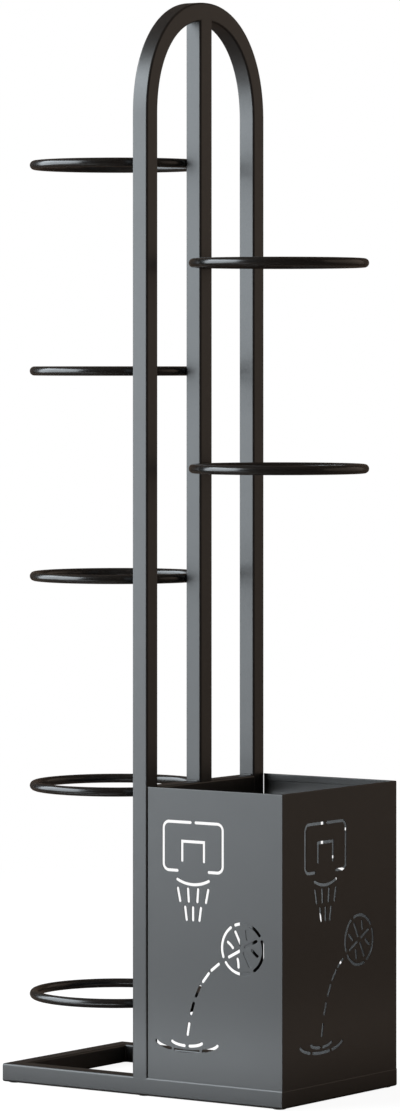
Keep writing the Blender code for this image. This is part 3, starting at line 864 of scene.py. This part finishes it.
# %% Panel values and section
SHEET = 0.0012
EDGE = 0.0003
EDGE_STEPS = 3
HEM_DEPTH = 0.008
HEM_GAP = 0.0004
HEM_RELIEF = 0.006
FOLD_RADIUS = SHEET + HEM_GAP / 2
FOLD_STEPS = 6
PANEL_LAP = 0.0022
PANEL_LOW = RAIL_TOP - PANEL_LAP
PANEL_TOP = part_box("front_panel")[1].z
FOLD_Z = PANEL_TOP - FOLD_RADIUS


def quarter(centre, radius, start, steps):
    """A quarter circle from start, anticlockwise."""
    return [(centre[0] + radius * math.cos(start + math.pi / 2 * i / steps),
             centre[1] + radius * math.sin(start + math.pi / 2 * i / steps)) for i in range(steps + 1)]


def panel_section(inset):
    """Sheet and outer half of the hem, as (inwards, up), from the inner foot round to the inner face."""
    lip = EDGE - inset
    foot_z = PANEL_LOW + EDGE
    section = quarter((SHEET - EDGE, foot_z), lip, -math.pi / 2, EDGE_STEPS)[::-1]
    section += quarter((EDGE, foot_z), lip, math.pi, EDGE_STEPS)[::-1]
    section += quarter((FOLD_RADIUS, FOLD_Z), FOLD_RADIUS - inset, math.pi / 2, FOLD_STEPS)[::-1]
    section += [(FOLD_RADIUS, FOLD_Z), (SHEET - inset, FOLD_Z)]
    return section


OUTER_FOOT = 2 * EDGE_STEPS + 1
INNER_HEAD = len(panel_section(0)) - 1
print("section points:", INNER_HEAD + 1)

# %% Panel ends
def end_stations(u_end, side, is_corner):
    """The section's rings towards one end, from the flat stretch outwards, as (u, w, v) points."""
    rings = []
    if is_corner:
        for angle in MITRE_ANGLES:
            ring = []
            for w, v in panel_section(0):
                along, depth = mitred(abs(u_end), w, angle)
                ring.append((side * along, depth, v))
            rings.append(ring)
        return rings
    for step in range(EDGE_STEPS + 1):
        angle = math.pi / 2 * (1 - step / EDGE_STEPS)
        inset = EDGE * (1 - math.sin(angle))
        u = u_end - side * EDGE * (1 - math.cos(angle))
        rings.append([(u, w, v) for w, v in panel_section(inset)])
    return rings


def make_verts(bm, place, points):
    return [bm.verts.new(place @ Vector(point)) for point in points]


print("ends:", len(end_stations(0.1, 1, True)), "and", len(end_stations(0.1, 1, False)), "rings")

# %% [markdown]
# The slots are placed from the panel's middle. One triangulation of the plain outline, with the slots as
# faces of their own, serves for both faces of the sheet: what belongs to the outline alone is metal.

# %% Slots and faces
INSIDE_ONLY = 1
SNAP = 1e-9


def rounded_levels(low, high):
    """Steps across a sheet with two rounded edges, as (how far the edge draws back, level)."""
    lips = []
    for step in range(EDGE_STEPS + 1):
        angle = math.pi / 2 * step / EDGE_STEPS
        lips.append((EDGE * (1 - math.sin(angle)), EDGE * (1 - math.cos(angle))))
    levels = [(inset, low + rise) for inset, rise in lips]
    return levels + [(inset, high - rise) for inset, rise in lips[::-1]]


def slot_rings(bm, place, middle_v):
    """For each slot its rings from the outer lip, through the wall, to the inner lip."""
    levels = rounded_levels(0, SHEET)
    slots = []
    for stroke in STROKES:
        rings = []
        for spread, w in levels:
            outline = slot_outline(stroke, SLOT / 2 + spread)
            rings.append(make_verts(bm, place, [(point.x, w, middle_v + point.y) for point in outline]))
        for near, far in zip(rings, rings[1:]):
            skin(bm, near, far)
        slots.append(rings)
    return slots


def fill_face(bm, corners, holes, flat):
    """Triangles over the face; corners and the rings of its holes all run anticlockwise in flat."""
    groups = [corners] + holes
    verts = [vert for group in groups for vert in group]
    faces, start = [], 0
    for group in groups:
        faces.append(list(range(start, start + len(group))))
        start += len(group)
    coords = [flat(vert.co) for vert in verts]
    found = geometry.delaunay_2d_cdt(coords, [], faces, INSIDE_ONLY, SNAP)
    for triangle, origin in zip(found[2], found[5]):
        if origin == [0]:
            bm.faces.new([verts[found[3][index][0]] for index in triangle])


def add_hem_leaf(bm, place, u_low, u_high):
    """The inner half of the hem, which stops short of both ends."""
    leaf_foot = FOLD_Z - HEM_DEPTH
    inner = SHEET + HEM_GAP
    section = quarter((FOLD_RADIUS, FOLD_Z), FOLD_RADIUS, 0, FOLD_STEPS)
    section += [(FOLD_RADIUS, FOLD_Z), (inner, FOLD_Z), (inner, leaf_foot + EDGE), (inner + EDGE, leaf_foot),
                (2 * FOLD_RADIUS - EDGE, leaf_foot), (2 * FOLD_RADIUS, leaf_foot + EDGE)]
    loft(bm, [[place @ Vector((u, w, v)) for w, v in section] for u in (u_low, u_high)])


print("slot and face helpers ready")

# %% One panel
def make_panel(name, width, left_is_corner, right_is_corner, place):
    """place turns the panel's own axes, u along it, w inwards and v up, into world ones."""
    bm = bmesh.new()
    half = width / 2
    left = [make_verts(bm, place, ring) for ring in end_stations(-half, -1, left_is_corner)]
    right = [make_verts(bm, place, ring) for ring in end_stations(half, 1, right_is_corner)]
    for rings in (left, right):
        for near, far in zip(rings, rings[1:]):
            skin(bm, near, far)
        bm.faces.new(rings[-1])
    skin(bm, left[0], right[0], skipped=(OUTER_FOOT, INNER_HEAD))
    slots = slot_rings(bm, place, (PANEL_LOW + PANEL_TOP) / 2)
    back_to_panel = place.inverted()

    def flat(co):
        local = back_to_panel @ co
        return Vector((local.x, local.z))

    for foot, head, layer in ((OUTER_FOOT, OUTER_FOOT + 1, 0), (0, INNER_HEAD, -1)):
        corners = [left[0][foot], right[0][foot], right[0][head], left[0][head]]
        fill_face(bm, corners, [rings[layer][::-1] for rings in slots], flat)
    add_hem_leaf(bm, place, -half + HEM_RELIEF, half - HEM_RELIEF)
    return finish_piece(name.replace("panel", "sheet"), bm, SHEET_COAT, [name])


def make_bin_sheets():
    low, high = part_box("front_panel")
    outer_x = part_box("right_panel")[1].x
    middle = (low.x + outer_x) / 2
    width = outer_x - low.x
    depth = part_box("back_panel")[1].y - low.y
    front = Matrix.Translation((middle, low.y, 0))
    back = Matrix.Translation((middle, low.y + depth, 0)) @ Matrix.Rotation(math.pi, 4, "Z")
    right = Matrix.Translation((outer_x, 0, 0)) @ Matrix.Rotation(math.pi / 2, 4, "Z")
    return [make_panel("front_panel", width, False, True, front),
            make_panel("back_panel", width, True, False, back),
            make_panel("right_panel", depth, True, True, right)]


for sheet in make_bin_sheets():
    print(sheet.name, len(sheet.data.polygons), "faces")

# %% [markdown]
# ## Pads, floor plate, clips and angles
#
# The rubber pads are domed discs, turned as rings. What holds the sheets is plain: a floor plate notched
# round the legs, six clips and two corner angles. These are flat outlines with a thickness, and one helper
# rounds the edges of all of them, by drawing the outline in by a quarter circle at its top and bottom.

# %% Rubber pads
PAD_ROUND = 0.004
PAD_STEPS = 6
PAD_SIDES = 48


def make_pad(node):
    low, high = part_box(node)
    middle = (low + high) / 2
    radius = (high.x - low.x) / 2
    rings = []
    for step in range(PAD_STEPS + 1):
        angle = math.pi / 2 * step / PAD_STEPS
        reach = radius - PAD_ROUND * (1 - math.sin(angle))
        z = high.z - (high.z - low.z) * math.cos(angle)
        rings.append([Vector((middle.x + p.x, middle.y + p.y, z)) for p in circle(reach, PAD_SIDES)])
    bm = bmesh.new()
    loft(bm, rings)
    return finish_piece(node.replace("foot_pad", "pad"), bm, PAD_RUBBER, [node])


PADS = [make_pad(node) for node in nodes_with("foot_pad_")]
print("pads:", len(PADS))

# %% Flat pieces with rounded edges
def drawn_in(outline, distance):
    """The outline moved inwards by distance, with mitred corners; it runs anticlockwise."""
    moved = []
    for index, point in enumerate(outline):
        before = (point - outline[index - 1]).normalized()
        after = (outline[(index + 1) % len(outline)] - point).normalized()
        normal = Vector((-before.y - after.y, before.x + after.x)).normalized()
        moved.append(point + normal * distance / normal.dot(Vector((-after.y, after.x))))
    return moved


def rounded_prism(outline, low, high):
    bm = bmesh.new()
    loft(bm, [[Vector((point.x, point.y, z)) for point in drawn_in(outline, inset)]
              for inset, z in rounded_levels(low, high)])
    return bm


def make_floor_plate():
    low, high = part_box("bin_floor")
    gap = SHEET / 4
    leg_x = HALF_TUBE + gap
    leg_y = LEG_Y - HALF_TUBE - gap
    corners = [(low.x, -leg_y), (leg_x, -leg_y), (leg_x, low.y), (high.x, low.y),
               (high.x, high.y), (leg_x, high.y), (leg_x, leg_y), (low.x, leg_y)]
    bm = rounded_prism([Vector(corner) for corner in corners], low.z, high.z)
    return finish_piece("floor_plate", bm, SHEET_COAT, ["bin_floor"])


FLOOR_PLATE = make_floor_plate()
print("floor plate:", len(FLOOR_PLATE.data.polygons), "faces")

# %% Clips and corner angles
CLIP_SHEET = 0.0015
CLIP_BEND_STEPS = 5


def make_angle_piece(node, sheet):
    """An upright L with a rounded bend; its outer corner is towards the nearest side of the rack."""
    low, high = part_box(node)
    width = high.x - low.x
    points = [Vector((width, 0)), Vector((width, sheet)), Vector((sheet, sheet)), Vector((sheet, width)),
              Vector((0, width))]
    for step in range(CLIP_BEND_STEPS + 1):
        angle = math.pi + math.pi / 2 * step / CLIP_BEND_STEPS
        points.append(Vector((sheet * (1 + math.cos(angle)), sheet * (1 + math.sin(angle)))))
    at_leg = low.x < (LEFT + RIGHT) / 2 + TUBE
    x_side, corner_x = (1, low.x) if at_leg else (-1, high.x)
    y_side, corner_y = (1, low.y) if low.y < 0 else (-1, high.y)
    outline = [Vector((corner_x + x_side * p.x, corner_y + y_side * p.y)) for p in points]
    if x_side * y_side < 0:
        outline.reverse()
    bm = rounded_prism(outline, low.z, high.z)
    name = node.replace("clip", "tab").replace("angle", "bracket")
    return finish_piece(name, bm, SHEET_COAT, [node])


for node_name in nodes_with("_clip_", "_corner_angle"):
    make_angle_piece(node_name, CLIP_SHEET if "_clip_" in node_name else SHEET)

# %% [markdown]
# ## The studio floor
#
# A product picture stands on white. The floor is a pale, matt disc. For the camera it adds a little light
# of its own, so that its lit part is white and the rack's shadow still shows, and it fades into the white
# of the world towards its rim. Light Path keeps that extra light from reaching the rack.

# %% Helpers for the studio
def seen_directly(tree):
    """1 for rays of the camera and for those that gloss or glass sends on, else 0."""
    path = tree.nodes.new("ShaderNodeLightPath")
    first = calculate(tree, "MAXIMUM", path.outputs["Is Camera Ray"], path.outputs["Is Glossy Ray"])
    return calculate(tree, "MAXIMUM", first, path.outputs["Is Transmission Ray"])


def plain_shader(tree, kind, socket_name, value):
    node = tree.nodes.new(kind)
    node.inputs[socket_name].default_value = value
    return node.outputs[0]


def mix_shaders(tree, share, first, second):
    node = tree.nodes.new("ShaderNodeMixShader")
    for source, socket in zip((share, first, second), node.inputs):
        tree.links.new(source, socket)
    return node.outputs[0]


def add_stage(name, bm, material):
    """A mesh that belongs to the studio and not to the rack."""
    mesh = bpy.data.meshes.new(name)
    bm.to_mesh(mesh)
    bm.free()
    mesh.materials.append(material)
    stage = bpy.data.objects.new(name, mesh)
    bpy.context.scene.collection.objects.link(stage)
    return stage


print("studio helpers ready")

# %% Floor
FLOOR_RADIUS = 9.0
FLOOR_SIDES = 96
FLOOR_COLOUR = (0.80, 0.80, 0.80)
FLOOR_SHADE = (0.17, 0.17, 0.17)
FLOOR_GLOW = 0.92
FADE_START = 1.2
FADE_END = 3.0


def make_floor_material():
    material = bpy.data.materials.new("studio_floor")
    material.use_nodes = True
    tree = material.node_tree
    tree.nodes.clear()
    matt = plain_shader(tree, "ShaderNodeBsdfDiffuse", "Color", (*FLOOR_COLOUR, 1))
    shade = plain_shader(tree, "ShaderNodeBsdfDiffuse", "Color", (*FLOOR_SHADE, 1))
    glow = plain_shader(tree, "ShaderNodeEmission", "Strength", FLOOR_GLOW)
    white = plain_shader(tree, "ShaderNodeEmission", "Strength", 1.0)
    near = tree.nodes.new("ShaderNodeAddShader")
    tree.links.new(shade, near.inputs[0])
    tree.links.new(glow, near.inputs[1])
    place = tree.nodes.new("ShaderNodeTexCoord")
    distance = tree.nodes.new("ShaderNodeVectorMath")
    distance.operation = "LENGTH"
    tree.links.new(place.outputs["Object"], distance.inputs[0])
    fade = tree.nodes.new("ShaderNodeMapRange")
    fade.inputs["From Min"].default_value = FADE_START
    fade.inputs["From Max"].default_value = FADE_END
    tree.links.new(distance.outputs["Value"], fade.inputs["Value"])
    faded = mix_shaders(tree, fade.outputs["Result"], near.outputs[0], white)
    output = tree.nodes.new("ShaderNodeOutputMaterial")
    tree.links.new(mix_shaders(tree, seen_directly(tree), matt, faded), output.inputs["Surface"])
    return material


def make_floor():
    bm = bmesh.new()
    bmesh.ops.create_circle(bm, cap_ends=True, segments=FLOOR_SIDES, radius=FLOOR_RADIUS)
    return add_stage("studio_floor", bm, make_floor_material())


make_floor()
print("floor %.0f m across" % (2 * FLOOR_RADIUS))

# %% [markdown]
# ## World and lights
#
# Black satin shows mostly what it reflects, so the lights are placed for their reflections. A wide wall of
# soft boxes stands at the front left, one above the other and each brighter than the one below: it makes
# the front faces grey and draws the long highlights on the rings. A key box before it adds to the front
# faces alone. Two low strips near the floor do the same for the panel and the base, which mirror what lies
# just above the floor. Faint warm boxes and strips behind tint the side faces. Round it all stands a dark
# room that only reflections see: it keeps undersides, tops and round bars crisp, and casts no shadow.

# %% World
FILL_COLOUR = (0.30, 0.285, 0.27)


def make_world():
    world = bpy.data.worlds.new("studio_world")
    bpy.context.scene.world = world
    world.use_nodes = True
    tree = world.node_tree
    tree.nodes.clear()
    fill = plain_shader(tree, "ShaderNodeBackground", "Color", (*FILL_COLOUR, 1))
    white = plain_shader(tree, "ShaderNodeBackground", "Color", (1, 1, 1, 1))
    output = tree.nodes.new("ShaderNodeOutputWorld")
    tree.links.new(mix_shaders(tree, seen_directly(tree), fill, white), output.inputs["Surface"])


make_world()
print("world fill", FILL_COLOUR)

# %% One soft box
COOL = (0.86, 0.94, 1.0)
WARM = (1.0, 0.82, 0.68)


def from_left(azimuth, distance):
    """The floor point at a distance, azimuth degrees to the left of the rack's front."""
    angle = math.radians(azimuth)
    return -math.sin(angle) * distance, -math.cos(angle) * distance


def add_soft_box(name, place, azimuth, width, low, high, radiance, colour):
    """An upright box of a given brightness over (x, y); it shines from azimuth towards the rack."""
    light = bpy.data.lights.new(name, "AREA")
    light.shape = "RECTANGLE"
    light.size = width
    light.size_y = high - low
    light.energy = radiance * math.pi * width * (high - low)
    light.color = colour
    box = bpy.data.objects.new(name, light)
    bpy.context.scene.collection.objects.link(box)
    box.location = (*place, (low + high) / 2)
    box.rotation_euler = (math.pi / 2, 0, -math.radians(azimuth))
    box.visible_camera = False
    return box


print("colours", COOL, "and", WARM)

# %% Boxes and strips
WIDE_AZIMUTH = 53
KEY_AZIMUTH = 33
SIDE_AZIMUTH = 228
STRIP_FRONT, STRIP_SIDE = 0, -90
BOX_DISTANCE = 3.2
KEY_DISTANCE = 3.1
WIDE_PLACE = from_left(WIDE_AZIMUTH, BOX_DISTANCE)
SIDE_PLACE = from_left(SIDE_AZIMUTH, BOX_DISTANCE)
SOFT_BOXES = [
    # name, place, azimuth, width, low, high, radiance, colour
    ("top_soft_box", WIDE_PLACE, WIDE_AZIMUTH, 4.5, 2.5, 3.6, 7.05, COOL),
    ("high_soft_box", WIDE_PLACE, WIDE_AZIMUTH, 4.5, 1.7, 2.5, 5.55, COOL),
    ("middle_soft_box", WIDE_PLACE, WIDE_AZIMUTH, 4.5, 0.6, 1.7, 4.35, COOL),
    ("low_soft_box", WIDE_PLACE, WIDE_AZIMUTH, 4.5, 0.0, 0.6, 4.0, COOL),
    ("key_soft_box", from_left(KEY_AZIMUTH, KEY_DISTANCE), KEY_AZIMUTH, 2.0, 0.0, 3.6, 0.83, COOL),
    ("far_strip", (-0.85, -1.20), STRIP_FRONT, 1.6, 0.0, 0.26, 1.5, COOL),
    ("near_strip", (-0.25, -0.40), STRIP_FRONT, 0.8, 0.0, 0.045, 4.7, COOL),
    ("high_side_box", SIDE_PLACE, SIDE_AZIMUTH, 4.8, 1.1, 3.2, 0.35, WARM),
    ("low_side_box", SIDE_PLACE, SIDE_AZIMUTH, 4.8, 0.0, 1.1, 0.23, WARM),
    ("far_side_strip", (1.20, 1.30), STRIP_SIDE, 1.4, 0.0, 0.24, 0.17, WARM),
    ("near_side_strip", (0.50, 0.34), STRIP_SIDE, 0.7, 0.0, 0.06, 0.34, WARM),
]
for soft_box in SOFT_BOXES:
    add_soft_box(*soft_box)
print("lights:", len(bpy.data.lights))

# %% Dark room
GROUND_RADIUS = 0.05
GROUND_LIFT = 0.0005
WALL_COLOUR = (0.14, 0.10, 0.075)
WALL_RADIUS = 5.0
WALL_TOP = 3.2
CEILING_TOP = 5.2
CEILING_GAP = 0.01
ROOM_SIDES = 72


def make_dark_room():
    """Dark ground, walls and ceiling that only reflections see."""
    material = bpy.data.materials.new("dark_room")
    material.use_nodes = True
    shader = material.node_tree.nodes["Principled BSDF"]
    shader.inputs["Base Color"].default_value = (*WALL_COLOUR, 1)
    shader.inputs["Specular IOR Level"].default_value = 0
    bm = bmesh.new()
    levels = [(GROUND_RADIUS, GROUND_LIFT), (WALL_RADIUS, GROUND_LIFT), (WALL_RADIUS, WALL_TOP),
              (CEILING_GAP, CEILING_TOP)]
    rings = [[bm.verts.new((p.x, p.y, z)) for p in circle(radius, ROOM_SIDES)] for radius, z in levels]
    for near, far in zip(rings, rings[1:]):
        skin(bm, near, far)
    room = add_stage("dark_room", bm, material)
    room.visible_camera = False
    room.visible_diffuse = False
    room.visible_shadow = False
    room.visible_transmission = False
    return room


make_dark_room()
print("room %.0f m across" % (2 * WALL_RADIUS))

# %% [markdown]
# ## Camera
#
# The picture was taken level, from a metre above the floor. A camera that is tilted down makes upright
# tubes lean, so the view is shifted down instead. The distance and the lens come from how strongly the
# base narrows towards the back.

# %% Camera
PICTURE_HEIGHT = 1113
PICTURE_WIDTH = 400
FOCAL_PIXELS = 5129.4
CAMERA_AZIMUTH = 35.342
CAMERA_DISTANCE = 7.1145
EYE_HEIGHT = 1.0086
RACK_MIDDLE_X = 199.13
HORIZON_Y = 357.4
SENSOR = 36.0
FAR_CLIP = 100


def make_camera():
    data = bpy.data.cameras.new("camera")
    data.sensor_width = SENSOR
    data.lens = FOCAL_PIXELS / PICTURE_HEIGHT * SENSOR
    data.shift_x = (PICTURE_WIDTH / 2 - RACK_MIDDLE_X) / PICTURE_HEIGHT
    data.shift_y = (HORIZON_Y - PICTURE_HEIGHT / 2) / PICTURE_HEIGHT
    data.clip_end = FAR_CLIP
    camera = bpy.data.objects.new("camera", data)
    bpy.context.scene.collection.objects.link(camera)
    camera.location = (*from_left(-CAMERA_AZIMUTH, CAMERA_DISTANCE), EYE_HEIGHT)
    camera.rotation_euler = (math.pi / 2, 0, math.radians(CAMERA_AZIMUTH))
    bpy.context.scene.camera = camera
    return data


CAMERA = make_camera()
bpy.context.scene.view_settings.view_transform = "Standard"
print("lens %.1f mm" % CAMERA.lens)
